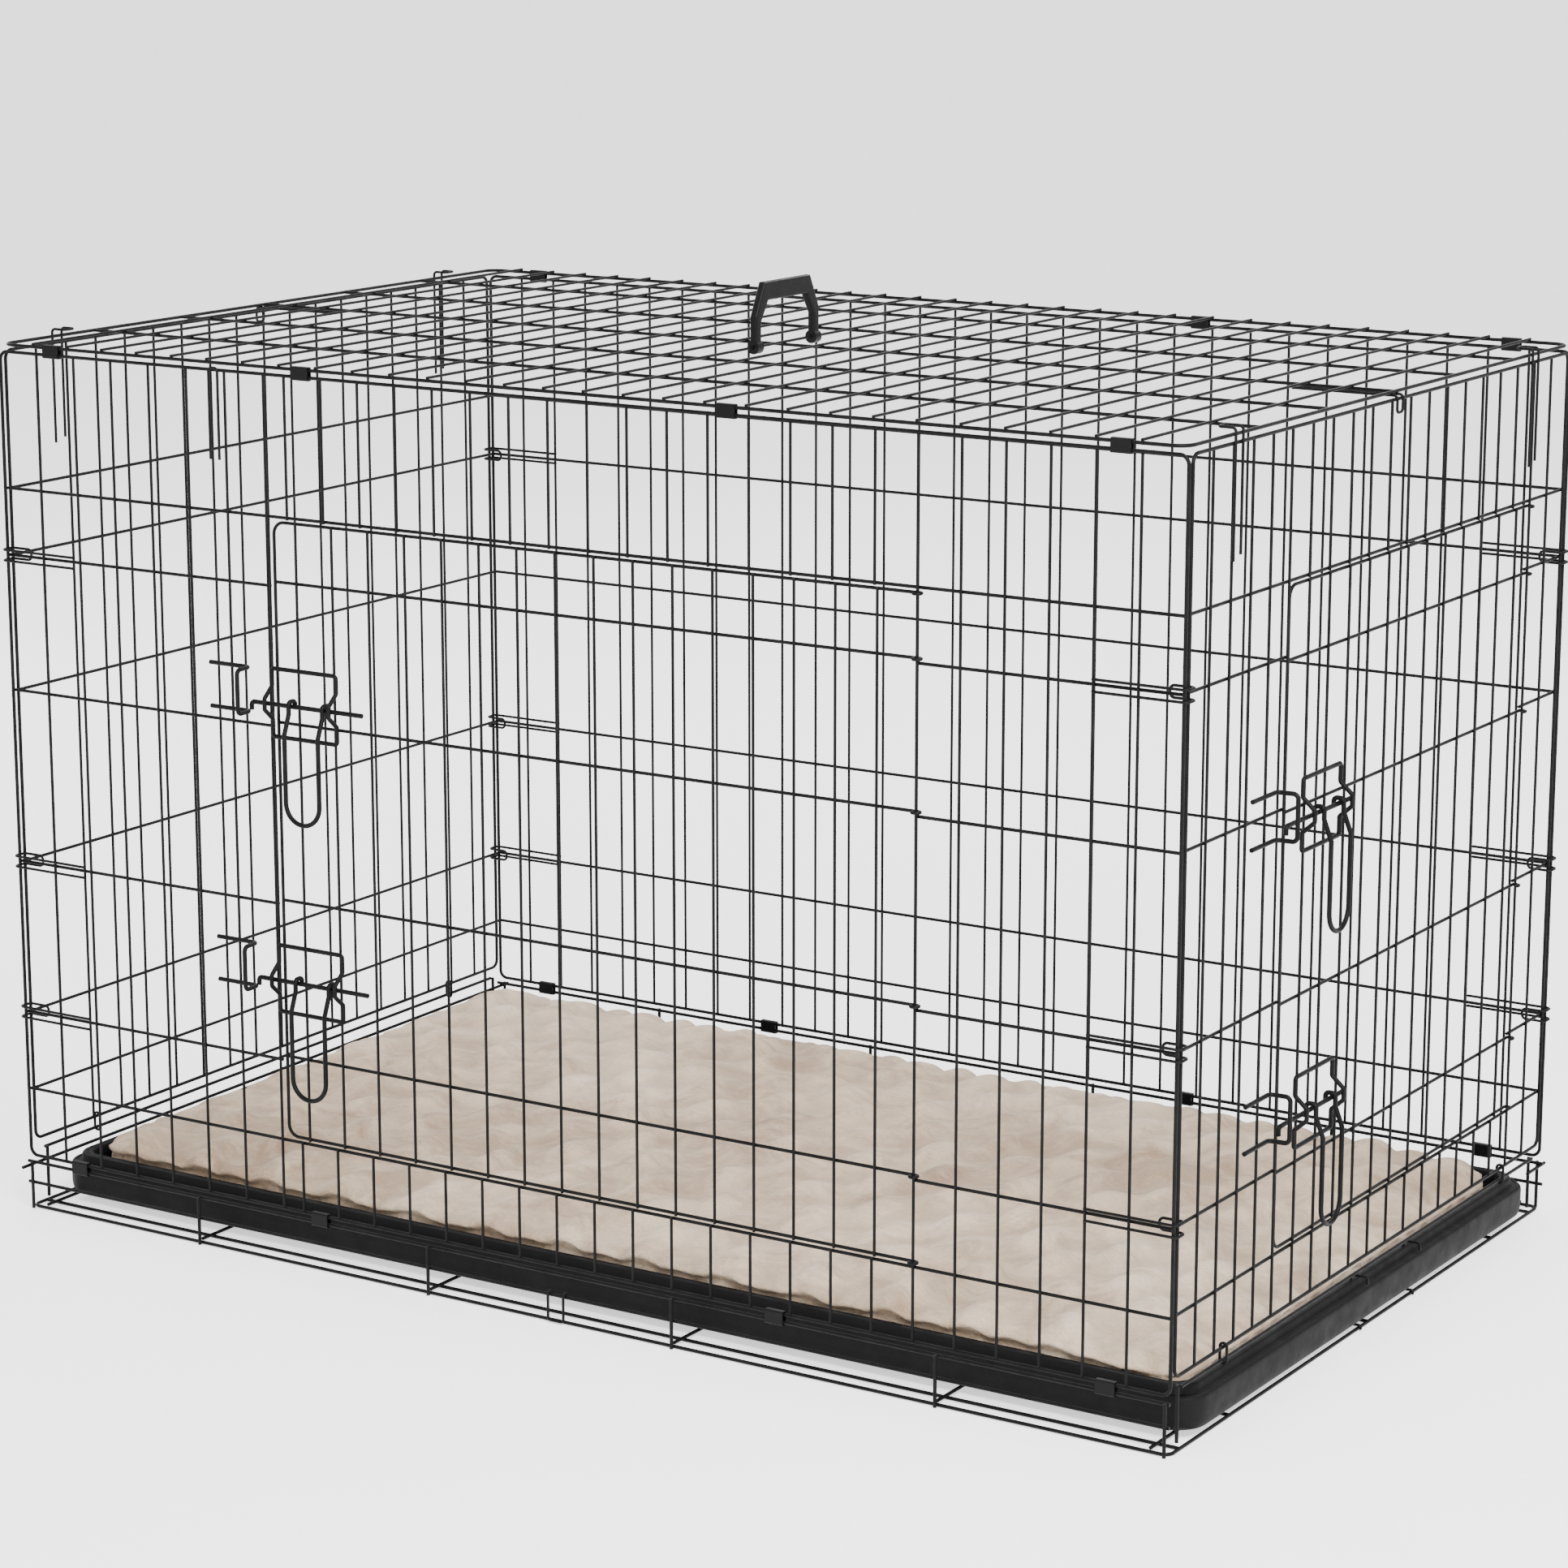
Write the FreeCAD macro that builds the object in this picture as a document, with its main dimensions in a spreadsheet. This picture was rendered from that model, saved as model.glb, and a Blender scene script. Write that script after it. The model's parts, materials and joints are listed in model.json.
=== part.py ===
"""Folding wire dog crate: two doors, plastic pan, carry handle and a bed pad.

X runs along the long side, Y across it, Z up. The origin is on the floor under the middle.
The front long side (with a door) faces -Y and the right end (with the second door) faces +X.
"""
import FreeCAD, Part
import math
import os
from FreeCAD import Vector

doc = FreeCAD.newDocument("dog_crate")

# ---------------------------------------------------------------- driving dimensions
SIZES = {
    "half_length": 609.5,        # centre of the end panels
    "half_width": 381.0,         # centre of the long panels
    "end_half_width": 374.2,     # edge rods of the end panels, just inside the long ones
    "vertical_radius": 1.3,
    "cross_radius": 1.5,
    "rail_radius": 1.6,
    "hook_radius": 1.25,
    "latch_radius": 2.15,
    "guide_radius": 2.05,        # of the latches' keepers and guides
    "weld_depth": 0.2,           # how far crossing wires sink into each other
    "butt_depth": 0.1,           # how far a wire's end sinks into a rail
    "origin_x": 9.24,            # middle of the whole crate, latches and handles included
    "origin_y": -5.79,
    "rail_bend": 8.0,
    "floor_rod_height": 1.6,
    "pan_rod_height": 4.55,
    "base_low_rail": 24.9,
    "base_rail": 45.2,
    "end_low_rail": 42.2,
    "end_base_rail": 55.0,
    "long_bottom_rail": 52.2,
    "end_bottom_rail": 66.0,
    "top_rail": 820.7,
    "top_panel_height": 827.2,
    "top_end_rod": 607.4,        # end rods of the top panel, inside the end hooks
    "grid_pitch": 40.4,          # spacing of the front verticals, from the right corner
    "front_edge": -302.5,
    "front_hinge": 367.1,
    "front_door_edge": -297.0,
    "end_edge": -198.0,
    "end_hinge": 297.0,
    "end_door_edge": -190.5,
    "door_step": 4.6,            # a door's top and bottom wires inside the fixed ones
    "door_offset": 4.0,          # a door's middle wires beside the fixed ones
    "door_out": -0.6,
    "hinge_loop": 3.2,
    "clip_length": 18.0,
    "clip_thickness": 6.2,
    "clip_height": 13.0,
    "pan_low": 7.0,
    "pan_flange": 38.0,
    "pan_ridge": 46.0,
    "pan_floor": 9.6,
    "pan_left": -604.0,
    "pan_right": 615.0,
    "pan_half_width": 350.0,
    "pan_corner": 30.0,
    "pad_left": -582.0,
    "pad_right": 593.0,
    "pad_half_width": 328.0,
    "pad_low": 10.0,
    "pad_top": 72.0,
    "handle_half": 54.0,
    "handle_height": 58.0,
    "handle_depth": 7.6,
    "handle_pin": 1.75,
}
LEVELS = (694.0, 631.5, 504.0, 340.0, 193.5, 117.5)   # heights of the panels' cross wires
CLASP_LEVELS = (631.5, 340.0, 193.5)

sheet = doc.addObject("Spreadsheet::Sheet", "sizes")
for row, (alias, number) in enumerate(SIZES.items(), start=1):
    sheet.set(f"A{row}", alias)
    sheet.set(f"B{row}", str(number))
    sheet.setAlias(f"B{row}", alias)
doc.recompute()


def size(alias):
    """A driving dimension, read back from the sheet."""
    return float(sheet.get(alias))


nodes = []

# ---------------------------------------------------------------- wires


def wire_group(label, wires):
    """Straight wires, each a cylinder: (radius cell, start point, direction letter, length)."""
    members = []
    turns = {"X": (Vector(0, 1, 0), 90), "Y": (Vector(1, 0, 0), -90), "Z": (Vector(0, 0, 1), 0)}
    for number, (radius, start, direction, length) in enumerate(wires, start=1):
        rod = doc.addObject("Part::Cylinder", f"{label}_{number}")
        rod.setExpression("Radius", f"sizes.{radius}")
        rod.Height = length
        axis, angle = turns[direction]
        rod.Placement = FreeCAD.Placement(start, FreeCAD.Rotation(axis, angle))
        members.append(rod)
    group = doc.addObject("Part::Compound", label)
    group.Links = members
    group.Label = label
    nodes.append(group)


def shape_node(label, solids):
    """Bent wires and moulded pieces whose shape is computed from the sheet."""
    group = doc.addObject("Part::Feature", label)
    group.Shape = solids[0] if len(solids) == 1 else Part.makeCompound(solids)
    group.Placement = FreeCAD.Placement()
    group.Label = label
    nodes.append(group)


def rounded_path(points, bend):
    """Straight runs between the points with a tangent arc of radius bend at each corner."""
    edges = []
    start = points[0]
    for before, corner, after in zip(points, points[1:], points[2:]):
        arriving = (before - corner).normalize()
        leaving = (after - corner).normalize()
        half = math.acos(max(-1.0, min(1.0, arriving.dot(leaving)))) / 2
        reach = bend / math.tan(half)
        first = corner + arriving * reach
        last = corner + leaving * reach
        middle_line = (arriving + leaving).normalize()
        middle = corner + middle_line * (bend / math.sin(half) - bend)
        if (first - start).Length > 1e-4:
            edges.append(Part.LineSegment(start, first).toShape())
        edges.append(Part.Arc(first, middle, last).toShape())
        start = last
    edges.append(Part.LineSegment(start, points[-1]).toShape())
    return Part.Wire(edges)


def bent_wire(points, radius, bend):
    """One round wire that follows the points."""
    path = rounded_path(points, bend)
    section = Part.makeCircle(radius, points[0], points[1] - points[0])
    return path.makePipeShell([Part.Wire([section])], True, True)


def straight(start, end, radius):
    """One straight round wire between two points."""
    return Part.makeCylinder(radius, (end - start).Length, start, end - start)


def quarter_bend(centre, from_direction, to_direction, bend, radius):
    """A quarter of a ring that joins two straight rods end to end."""
    first = centre + from_direction * bend
    last = centre + to_direction * bend
    middle = centre + (from_direction + to_direction).normalize() * bend
    path = Part.Wire([Part.Arc(first, middle, last).toShape()])
    section = Part.makeCircle(radius, first, to_direction)
    return path.makePipeShell([Part.Wire([section])], True, True)


def frame_loop(corners, radius, bend):
    """A closed rectangular rod: four straight rods and four quarter bends, end to end."""
    pieces = []
    for number in range(4):
        before = corners[number - 1]
        corner = corners[number]
        after = corners[(number + 1) % 4]
        back = (before - corner).normalize()
        ahead = (after - corner).normalize()
        pieces.append(straight(corner + ahead * bend, after - ahead * bend, radius))
        centre = corner + (back + ahead) * bend
        pieces.append(quarter_bend(centre, -ahead, -back, bend, radius))
    return pieces


HALF_X = size("half_length")
HALF_Y = size("half_width")
END_Y = size("end_half_width")
RV = size("vertical_radius")
RC = size("cross_radius")
RR = size("rail_radius")
RH = size("hook_radius")
RL = size("latch_radius")
RG = size("guide_radius")
WELD = size("weld_depth")
BUTT = RR - size("butt_depth")     # from a rail's centre to the end of a wire that meets it
BEND = size("rail_bend")
TOP = size("top_rail")
INSIDE = -(RV + RC - WELD)          # cross wires are welded inside the verticals
CLEAR = 0.35                        # running gap between pieces that move apart


def on_side(side, along, out, height):
    """A point on a panel: along it, outwards from its wires' plane, and up."""
    places = {
        "front": Vector(along, -HALF_Y - out, height),
        "back": Vector(along, HALF_Y + out, height),
        "right": Vector(HALF_X + out, along, height),
        "left": Vector(-HALF_X - out, along, height),
    }
    return places[side]


def run_letter(side):
    """The direction that a panel's cross wires take."""
    return "X" if side in ("front", "back") else "Y"


# ---------------------------------------------------------------- four upright panels


def panel_frame(side):
    half = HALF_X if run_letter(side) == "X" else END_Y
    low = size("long_bottom_rail") if run_letter(side) == "X" else size("end_bottom_rail")
    corners = [on_side(side, x, 0, z) for x, z in ((-half, low), (half, low), (half, TOP), (-half, TOP))]
    shape_node(f"{side}_frame", frame_loop(corners, RR, BEND))
    return half, low


def upright(side, along, low, high, out=0.0, radius="vertical_radius"):
    return (radius, on_side(side, along, out, low), "Z", high - low)


def crosswire(side, level, first, last, out=INSIDE):
    return ("cross_radius", on_side(side, first, out, level), run_letter(side), last - first)


def plain_panel(side, gaps):
    """A panel with no door: evenly spaced verticals and six full cross wires."""
    half, low = panel_frame(side)
    pitch = 2 * half / gaps
    wire_group(f"{side}_verticals",
               [upright(side, -half + pitch * i, low + BUTT, TOP - BUTT) for i in range(1, gaps)])
    wire_group(f"{side}_cross_wires", [crosswire(side, level, -half + 0.6, half - 0.6) for level in LEVELS])


def door_panel(side, edge, hinge, full, over_door):
    """A panel with a doorway: full verticals beside it, short ones above and below it."""
    half, low = panel_frame(side)
    top_wire, bottom_wire = LEVELS[0], LEVELS[-1]
    uprights = [upright(side, along, low + BUTT, TOP - BUTT) for along in (*full, edge, hinge)]
    for along in over_door:
        uprights.append(upright(side, along, top_wire - RC, TOP - BUTT))
        uprights.append(upright(side, along, low + BUTT, bottom_wire + RC))
    wire_group(f"{side}_verticals", uprights)
    wires = [crosswire(side, level, -half + 0.6, half - 0.6) for level in (top_wire, bottom_wire)]
    for level in LEVELS[1:-1]:
        wires.append(crosswire(side, level, -half + 0.6, edge + 1))
        wires.append(crosswire(side, level, hinge - 0.8, half - 0.6))
    wire_group(f"{side}_cross_wires", wires)


plain_panel("back", 30)
plain_panel("left", 18)

PITCH = size("grid_pitch")
FRONT_EDGE = size("front_edge")
FRONT_HINGE = size("front_hinge")
left_gap = (HALF_X + FRONT_EDGE) / 7
front_full = [HALF_X - PITCH * i for i in range(1, 6)] + [FRONT_EDGE - left_gap * i for i in range(1, 7)]
front_over_door = [FRONT_HINGE - PITCH * i for i in range(1, 17)]
door_panel("front", FRONT_EDGE, FRONT_HINGE, front_full, front_over_door)

END_EDGE = size("end_edge")
END_HINGE = size("end_hinge")
corner_gap = (END_Y + END_EDGE) / 5
end_full = [END_EDGE - corner_gap * i for i in range(1, 5)] + [(END_HINGE + END_Y) / 2]
over_gap = (END_HINGE - END_EDGE) / 13
end_over_door = [END_EDGE + over_gap * i for i in range(1, 13)]
door_panel("right", END_EDGE, END_HINGE, end_full, end_over_door)

# ---------------------------------------------------------------- top panel
TOP_Z = size("top_panel_height")
TOP_X = size("top_end_rod")
top_corners = [Vector(x, y, TOP_Z) for x, y in
               ((-TOP_X, -HALF_Y), (TOP_X, -HALF_Y), (TOP_X, HALF_Y), (-TOP_X, HALF_Y))]
shape_node("top_frame", frame_loop(top_corners, RR, 14))
wire_group("top_long_wires",
           [("cross_radius", Vector(-TOP_X + RR - WELD, HALF_Y / 3 * i, TOP_Z), "X",
             2 * (TOP_X - RR + WELD)) for i in range(-2, 3)])
cross_height = TOP_Z + RV + RC - WELD
top_pitch = 2 * HALF_X / 30
wire_group("top_cross_wires",
           [("vertical_radius", Vector(top_pitch * i, -HALF_Y - 1, cross_height), "Y", 2 * HALF_Y + 2)
            for i in range(-14, 15)])


def top_mid_hook(direction):
    """Hairpin welded under the top panel, its nose folded down outside the end panel's rail."""
    height = TOP_Z - RR - RH + WELD
    nose = HALF_X + RR + RH + CLEAR + 0.4
    half = 5.6
    points = [Vector(direction * x, y, z) for x, y, z in
              ((515, -half, height), (nose, -half, height), (nose, -half, 810),
               (nose, half, 810), (nose, half, height), (515, half, height))]
    return bent_wire(points, RH, 3.5)


shape_node("top_mid_hooks", [top_mid_hook(-1), top_mid_hook(1)])

# ---------------------------------------------------------------- hinge clips


def hinge_clip(side, along, low_rod, high_rod):
    """Flat sleeve that two parallel rods turn in."""
    depth = size("clip_thickness")
    height = high_rod - low_rod + 2 * RR + 2.6
    corner = on_side(side, along, 0, 0)
    base = Vector(corner.x - size("clip_length") / 2, corner.y - depth / 2, low_rod - RR - 1.3)
    block = Part.makeBox(size("clip_length"), depth, height, base)
    block = block.makeFillet(1.4, [edge for edge in block.Edges
                                   if abs(edge.tangentAt(edge.FirstParameter).x) > 0.9])
    slot_depth = 2 * RR + 0.5
    slot = Part.makeBox(size("clip_length") + 2, slot_depth, high_rod - low_rod + 2 * RR + 0.5,
                        Vector(base.x - 1, corner.y - slot_depth / 2, low_rod - RR - 0.25))
    return block.cut(slot)


CLIP_PLACES = (-547.0, -260.0, 231.0, 551.0)
TOP_CLIP_PLACES = {"front": (-547.0, -260.0, 184.0, 551.0), "back": CLIP_PLACES}
for side in ("front", "back"):
    shape_node(f"{side}_top_clips",
               [hinge_clip(side, along, TOP, TOP_Z) for along in TOP_CLIP_PLACES[side]])
    shape_node(f"{side}_bottom_clips",
               [hinge_clip(side, along, size("base_rail"), size("long_bottom_rail"))
                for along in CLIP_PLACES])

# ---------------------------------------------------------------- corner clasps and end hooks


def corner_clasp(side, direction, level):
    """Hairpin on a long panel whose closed end folds round the end panel's edge rod."""
    leg_out = RR + RH - WELD
    wrap = RR + RH + CLEAR
    outer_x = HALF_X + wrap + 1.2
    inner_out = END_Y - HALF_Y - wrap - 1.2
    points = []
    for x, out, lift in ((529, leg_out, 5), (outer_x, leg_out, 5), (outer_x, inner_out, 5),
                         (591, inner_out, 5), (591, inner_out, -5), (outer_x, inner_out, -5),
                         (outer_x, leg_out, -5), (529, leg_out, -5)):
        points.append(on_side(side, direction * x, out, level + lift))
    return bent_wire(points, RH, 4.2)


for side in ("front", "back"):
    shape_node(f"{side}_corner_clasps",
               [corner_clasp(side, direction, level) for direction in (-1, 1) for level in CLASP_LEVELS])


def end_hook(side, along):
    """Hairpin on the end panel's top rail whose closed end reaches in over the top panel."""
    leg_out = RR + RH - WELD
    tip_height = cross_height + 3.6
    points = []
    for out, shift, height in ((leg_out, -6.5, 727), (leg_out, -6.5, tip_height),
                               (-13, -6.5, tip_height), (-13, 6.5, tip_height),
                               (leg_out, 6.5, tip_height), (leg_out, 6.5, 731)):
        points.append(on_side(side, along + shift, out, height))
    return bent_wire(points, RH, 3.5)


for side in ("left", "right"):
    shape_node(f"{side}_top_hooks", [end_hook(side, along) for along in (-300, 292)])

front_hook = [on_side("front", along, RR + RH - WELD, height) for along, height in
              ((-362, 741), (-362, TOP + 2), (-352, TOP + 2), (-352, 741))]
shape_node("front_top_hook", [bent_wire(front_hook, RH, 3.5)])

# ---------------------------------------------------------------- base
FLOOR_Z = size("floor_rod_height")
PAN_ROD_Z = size("pan_rod_height")
BASE_RAIL = size("base_rail")
floor_corners = [Vector(x, y, FLOOR_Z) for x, y in
                 ((-HALF_X, -HALF_Y), (HALF_X, -HALF_Y), (HALF_X, HALF_Y), (-HALF_X, HALF_Y))]
shape_node("base_floor_frame", frame_loop(floor_corners, RR, BEND))

base_rods = []
for place in (-592.0, -402.0, -137.0, 126.0, 391.0, 592.0):
    base_rods.append(straight(Vector(place, -HALF_Y + 1, PAN_ROD_Z), Vector(place, HALF_Y - 1, PAN_ROD_Z), RR))
CORNER_POST = HALF_X - 2 * RR + WELD
for place in (-CORNER_POST, -402.0, -137.0, 126.0, 391.0, CORNER_POST):
    for face in (-1, 1):
        foot = Vector(place, face * (HALF_Y + 2 * RR - WELD), 0.1)
        base_rods.append(straight(foot, foot + Vector(0, 0, BASE_RAIL + 1), RR))
shape_node("base_cross_rods", base_rods)
shape_node("base_floor_long_rods",
           [straight(Vector(-HALF_X + RR - WELD, y, FLOOR_Z), Vector(HALF_X - RR + WELD, y, FLOOR_Z), RR)
            for y in (-362, -272, 0, 272, 362)])
side_rails = []
for face in (-1, 1):
    for height in (size("base_low_rail"), BASE_RAIL):
        reach = HALF_X + 2 + 2 * face
        side_rails.append(straight(Vector(-HALF_X - 4, face * HALF_Y, height),
                                   Vector(reach, face * HALF_Y, height), RR))
shape_node("base_side_rails", side_rails)

END_RAIL = size("end_base_rail")
LOW_END_RAIL = size("end_low_rail")
end_rails = []
for face in (-1, 1):
    rail_x = face * HALF_X
    end_rails.append(straight(Vector(rail_x, -362, END_RAIL), Vector(rail_x, 362, END_RAIL), RR))
    for post in (-362, 362):
        end_rails.append(straight(Vector(rail_x - face * (2 * RR - WELD), post, FLOOR_Z + RR + 3.0),
                                  Vector(rail_x - face * (2 * RR - WELD), post, END_RAIL + 1), RR))
end_rails.append(straight(Vector(-HALF_X, -394, LOW_END_RAIL), Vector(-HALF_X, 394, LOW_END_RAIL), RR))
end_rails.append(straight(Vector(HALF_X, 353, LOW_END_RAIL), Vector(HALF_X, 394, LOW_END_RAIL), RR))
shape_node("base_end_rails", end_rails)


def hinge_ring(direction, along):
    """Ring through which the end panel turns on the base's end rail."""
    low = END_RAIL
    high = size("end_bottom_rail")
    reach = RR + RH + CLEAR
    centre_x = direction * HALF_X
    ring = [Vector(centre_x - reach, along, low), Vector(centre_x - reach, along, high),
            Vector(centre_x, along, high + reach), Vector(centre_x + reach, along, high),
            Vector(centre_x + reach, along, low), Vector(centre_x, along, low - reach)]
    path = Part.Wire([Part.LineSegment(ring[0], ring[1]).toShape(),
                      Part.Arc(ring[1], ring[2], ring[3]).toShape(),
                      Part.LineSegment(ring[3], ring[4]).toShape(),
                      Part.Arc(ring[4], ring[5], ring[0]).toShape()])
    section = Part.makeCircle(RH, ring[0], Vector(0, 0, 1))
    return path.makePipeShell([Part.Wire([section])], True, True)


for side, direction in (("left", -1), ("right", 1)):
    shape_node(f"{side}_hinge_rings", [hinge_ring(direction, along) for along in (-286, 286)])

# ---------------------------------------------------------------- doors
DOOR_OUT = size("door_out")
DOOR_CROSS = -size("hinge_loop")
LOOP = size("hinge_loop")
STEP = size("door_step")


def hinge_end(side, start, hinge, level):
    """Cross wire of a door whose end is rolled round the hinge wire."""
    points = [on_side(side, along, out, level) for along, out in
              ((start, DOOR_CROSS), (hinge + LOOP, DOOR_CROSS), (hinge + LOOP, LOOP),
               (hinge - LOOP, LOOP), (hinge - LOOP, DOOR_CROSS + 2 * RC + 0.9))]
    return bent_wire(points, RC, 2.6)


def door(name, side, edge, hinge, offset, verticals):
    """A door: a three-sided outer wire, cross wires rolled round the hinge, and verticals."""
    top_level = LEVELS[0] - STEP
    bottom_level = LEVELS[-1] + STEP
    split = hinge - 30
    bend = 11
    frame = [straight(on_side(side, edge, DOOR_CROSS, bottom_level + bend),
                      on_side(side, edge, DOOR_CROSS, top_level - bend), RC)]
    for level, turn in ((top_level, -1), (bottom_level, 1)):
        frame.append(straight(on_side(side, edge + bend, DOOR_CROSS, level),
                              on_side(side, split, DOOR_CROSS, level), RC))
        centre = on_side(side, edge + bend, DOOR_CROSS, level + turn * bend)
        to_edge = (on_side(side, -1, 0, 0) - on_side(side, 0, 0, 0)).normalize()
        frame.append(quarter_bend(centre, to_edge, Vector(0, 0, -turn), bend, RC))
    shape_node(f"{name}_frame", frame)
    middle_levels = [level + offset for level in LEVELS[1:-1]]
    cross = []
    for level in middle_levels:
        cross.append(straight(on_side(side, edge + RC - WELD, DOOR_CROSS, level),
                              on_side(side, split, DOOR_CROSS, level), RC))
    for level in (top_level, *middle_levels, bottom_level):
        cross.append(hinge_end(side, split, hinge, level))
    shape_node(f"{name}_cross_wires", cross)
    wire_group(f"{name}_verticals",
               [upright(side, along, bottom_level - RC, top_level + RC, DOOR_OUT) for along in verticals])


FRONT_DOOR_EDGE = size("front_door_edge")
END_DOOR_EDGE = size("end_door_edge")
front_door_wires = [-271.0 + 40.0 * i for i in range(16)]
end_door_wires = [-158.0 + 38.8 * i for i in range(12)]
door("front_door", "front", FRONT_DOOR_EDGE, FRONT_HINGE, size("door_offset"), front_door_wires)
door("end_door", "right", END_DOOR_EDGE, END_HINGE, -size("door_offset"), end_door_wires)

# ---------------------------------------------------------------- latches
BOLT_OUT = 9.0


def keeper(side, edge, level):
    """Wire staple welded beside the doorway, with a bar that the bolt goes behind."""
    flat = RV + RG - WELD
    bar = edge - 26
    points = [on_side(side, along, out, level + lift) for along, out, lift in
              ((edge - 72, flat, 29.5), (bar - 1, flat, 29.5), (bar, 22, 29.5),
               (bar, 22, -10.6), (bar - 1, flat, -10.6), (edge - 72, flat, -10.6))]
    return bent_wire(points, RG, 4.5)


def guide_frame(side, first, level):
    """Rectangular wire on the door with an outward joggle in each upright for the bolt."""
    flat = DOOR_OUT + RV + RG - WELD
    apex = BOLT_OUT + RL + RG + CLEAR + 0.3
    second = first + 72
    rows = [(first, 0, 31), (first, 0, 15), (first, 1, 5), (first, 1, -5), (first, 0, -15), (first, 0, -31),
            (second, 0, -31), (second, 0, -15), (second, 1, -5), (second, 1, 5), (second, 0, 15),
            (second, 0, 31)]
    points = [on_side(side, along, apex if raised else flat, level + lift) for along, raised, lift in rows]
    middle = on_side(side, (first + second) / 2, flat, level + 31)
    return bent_wire([middle + (points[0] - middle) * 0.02, *points, middle], RG, 3.0)


def bolt(side, nose, level):
    """Sliding rod whose nose turns down behind the keeper's bar."""
    points = [on_side(side, along, BOLT_OUT, height) for along, height in
              ((nose + 124, level), (nose, level), (nose, level - 7.4))]
    return bent_wire(points, RL, 3.2)


def pull_handle(side, first, level):
    """Wire loop that hangs on the bolt from two open eyes."""
    eye = 2 * RL + CLEAR
    hang = BOLT_OUT + eye + 7
    half_turn = 18.4
    second = first + 2 * half_turn + 0.8
    profile = ((BOLT_OUT - eye, -3), (BOLT_OUT - eye, eye), (BOLT_OUT + eye, eye), (BOLT_OUT + eye, -6),
               (hang, -24))
    down = [on_side(side, first, out, level + lift) for out, lift in profile]
    up = [on_side(side, second, out, level + lift) for out, lift in reversed(profile)]
    bottom = [on_side(side, along, hang, level - 104) for along in (first, second)]
    path_points = down + bottom + up
    return handle_wire(path_points, half_turn)


def handle_wire(points, half_turn):
    """Small bends at the eyes, and one large half turn at the bottom."""
    count = len(points) // 2 - 1
    left = rounded_path(points[:count] + [points[count] + Vector(0, 0, half_turn + 0.2)], 3.4)
    right = rounded_path([points[count + 1] + Vector(0, 0, half_turn + 0.2)] + points[count + 2:], 3.4)
    start = left.Vertexes[-1].Point
    end = right.Vertexes[0].Point
    lowest = (start + end) * 0.5 - Vector(0, 0, (end - start).Length / 2)
    path = Part.Wire(left.Edges + [Part.Arc(start, lowest, end).toShape()] + right.Edges)
    section = Part.makeCircle(RL, points[0], points[1] - points[0])
    return path.makePipeShell([Part.Wire([section])], True, True)


REST_GAP = 20.5          # the bolt's nose stands this far past the door edge, clear of the bar
REST_SHIFT = 8.5         # the bolt and its pull are drawn back this far from fully home
LATCHES = (
    ("front_upper", "front", FRONT_DOOR_EDGE, 527.0, -299.0, -280.5),
    ("front_lower", "front", FRONT_DOOR_EDGE, 272.0, -299.0, -280.5),
    ("end_upper", "right", END_DOOR_EDGE, 494.0, -167.0, -157.0),
    ("end_lower", "right", END_DOOR_EDGE, 237.0, -167.0, -157.0),
)
for name, side, edge, level, guide_start, handle_start in LATCHES:
    shape_node(f"{name}_keeper", [keeper(side, edge, level)])
    shape_node(f"{name}_guide", [guide_frame(side, guide_start, level)])
    shape_node(f"{name}_bolt", [bolt(side, edge - REST_GAP, level)])
    shape_node(f"{name}_pull", [pull_handle(side, handle_start + REST_SHIFT, level)])

# ---------------------------------------------------------------- pan
pan_block = doc.addObject("Part::Box", "pan_block")
pan_block.setExpression("Length", "sizes.pan_right - sizes.pan_left")
pan_block.setExpression("Width", "2 * sizes.pan_half_width")
pan_block.setExpression("Height", "sizes.pan_flange - sizes.pan_low")
pan_block.setExpression("Placement.Base.x", "sizes.pan_left")
pan_block.setExpression("Placement.Base.y", "-sizes.pan_half_width")
pan_block.setExpression("Placement.Base.z", "sizes.pan_low")
doc.recompute()


def edge_numbers(owner, keep):
    return [number for number, edge in enumerate(owner.Shape.Edges, start=1) if keep(edge)]


def is_upright(edge):
    return abs(edge.tangentAt(edge.FirstParameter).z) > 0.9


def fillet(label, owner, radius, keep):
    rounded = doc.addObject("Part::Fillet", label)
    rounded.Base = owner
    rounded.Edges = [(number, radius, radius) for number in edge_numbers(owner, keep)]
    doc.recompute()
    return rounded


pan_outer = fillet("pan_outer", pan_block, size("pan_corner"), is_upright)
pan_step = 9.0
pan_ridge_block = doc.addObject("Part::Box", "pan_ridge_block")
pan_ridge_block.setExpression("Length", f"sizes.pan_right - sizes.pan_left - {2 * pan_step}")
pan_ridge_block.setExpression("Width", f"2 * (sizes.pan_half_width - {pan_step})")
pan_ridge_block.setExpression("Height", "sizes.pan_ridge - sizes.pan_low - 6")
pan_ridge_block.setExpression("Placement.Base.x", f"sizes.pan_left + {pan_step}")
pan_ridge_block.setExpression("Placement.Base.y", f"{pan_step} - sizes.pan_half_width")
pan_ridge_block.setExpression("Placement.Base.z", "sizes.pan_low + 6")
doc.recompute()
pan_ridge = fillet("pan_ridge_round", pan_ridge_block, size("pan_corner") - pan_step, is_upright)
pan_solid = doc.addObject("Part::Fuse", "pan_solid")
pan_solid.Base = pan_outer
pan_solid.Tool = pan_ridge
pan_wall = 20.0
pan_hollow_block = doc.addObject("Part::Box", "pan_hollow_block")
pan_hollow_block.setExpression("Length", f"sizes.pan_right - sizes.pan_left - {2 * pan_wall}")
pan_hollow_block.setExpression("Width", f"2 * (sizes.pan_half_width - {pan_wall})")
pan_hollow_block.setExpression("Height", "sizes.pan_ridge - sizes.pan_floor + 5")
pan_hollow_block.setExpression("Placement.Base.x", f"sizes.pan_left + {pan_wall}")
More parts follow.
